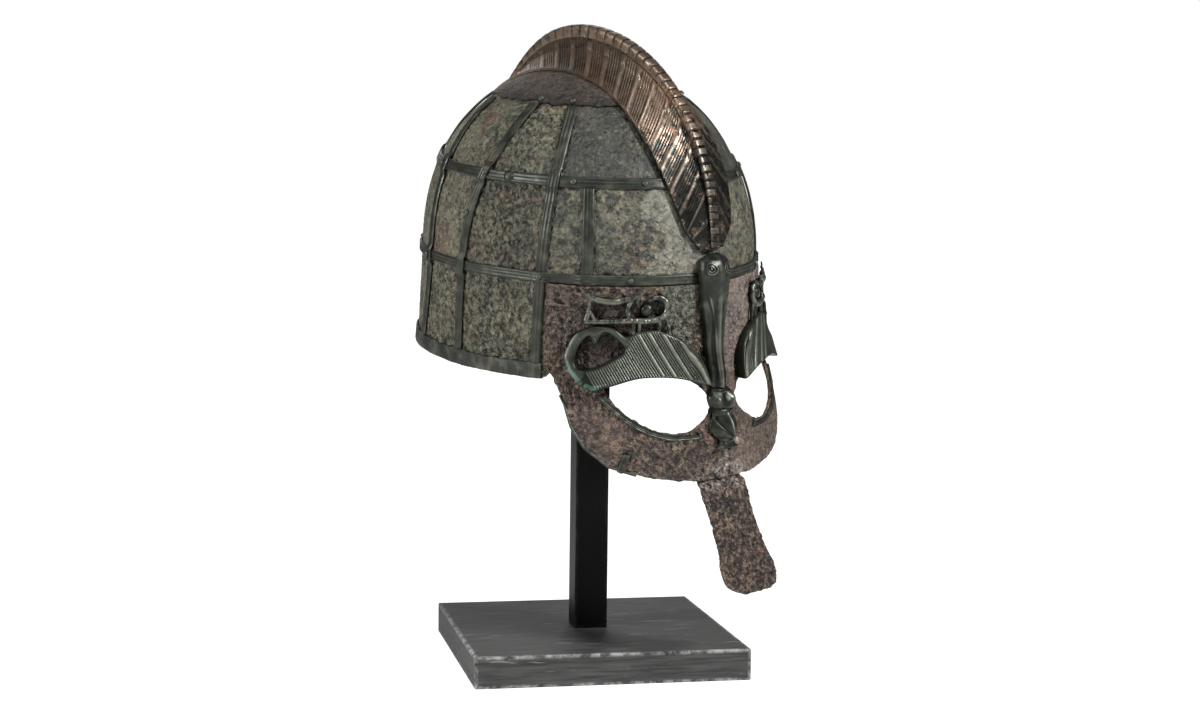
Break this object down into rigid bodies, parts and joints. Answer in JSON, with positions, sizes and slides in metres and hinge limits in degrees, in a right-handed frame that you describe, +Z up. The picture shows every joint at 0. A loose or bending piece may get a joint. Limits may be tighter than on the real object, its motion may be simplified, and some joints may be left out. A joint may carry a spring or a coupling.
{
  "type": "norse iron helmet on stand",
  "caption": "Ridged iron helmet with bronze framing strips, fluted crest, beast-head nose mount, spectacle visor, cast brows and nasal bar, held on a plain square post and base",
  "frame": {"origin": "Centre of the stand base's underside, on the surface that it rests on", "axes": "+Z is up. The helmet's front faces -Y, its left side (the wearer's left) is +X. The helmet nods 6.2 degrees and leans 4.9 degrees on its post, and the stand base and post are turned -30.65 degrees about Z."},
  "size_m": [0.239, 0.2759, 0.4106],
  "materials": {
    "bowl_iron": "rough, pitted, greenish brown",
    "visor_iron": "rough, rusted reddish brown",
    "strip_bronze": "dark green patina with longitudinal ridges",
    "cast_bronze": "dark green patina, satin, finely fluted",
    "crest_bronze": "brown patina with a sheen, fluted",
    "black_wood": "stained black, satin, worn edges"
  },
  "bodies": {
    "root": {"beast_head": "cast_bronze", "bowl": "bowl_iron", "brow_left": "cast_bronze", "brow_right": "cast_bronze", "crest": "crest_bronze", "crown_plate": "bowl_iron", "eye_edging_left": "strip_bronze", "eye_edging_right": "strip_bronze", "lower_hoop": "strip_bronze", "nasal_strip": "visor_iron", "nose_mount": "cast_bronze", "pierced_mount_left": "cast_bronze", "pierced_mount_right": "cast_bronze", "rim_binding": "strip_bronze", "rivet_left_1": "strip_bronze", "rivet_left_10": "strip_bronze", "rivet_left_11": "strip_bronze", "rivet_left_2": "strip_bronze", "rivet_left_3": "strip_bronze", "rivet_left_4": "strip_bronze", "rivet_left_5": "strip_bronze", "rivet_left_6": "strip_bronze", "rivet_left_7": "strip_bronze", "rivet_left_8": "strip_bronze", "rivet_left_9": "strip_bronze", "rivet_right_1": "strip_bronze", "rivet_right_10": "strip_bronze", "rivet_right_11": "strip_bronze", "rivet_right_2": "strip_bronze", "rivet_right_3": "strip_bronze", "rivet_right_4": "strip_bronze", "rivet_right_5": "strip_bronze", "rivet_right_6": "strip_bronze", "rivet_right_7": "strip_bronze", "rivet_right_8": "strip_bronze", "rivet_right_9": "strip_bronze", "stand_base": "black_wood", "stand_pad": "black_wood", "stand_post": "black_wood", "upper_hoop": "strip_bronze", "upright_front_left": "strip_bronze", "upright_front_right": "strip_bronze", "upright_rear_left": "strip_bronze", "upright_rear_right": "strip_bronze", "upright_rear_side_left": "strip_bronze", "upright_rear_side_right": "strip_bronze", "upright_short_left": "strip_bronze", "upright_short_right": "strip_bronze", "upright_side_left": "strip_bronze", "upright_side_right": "strip_bronze", "visor": "visor_iron"}
  },
  "joints": []
}
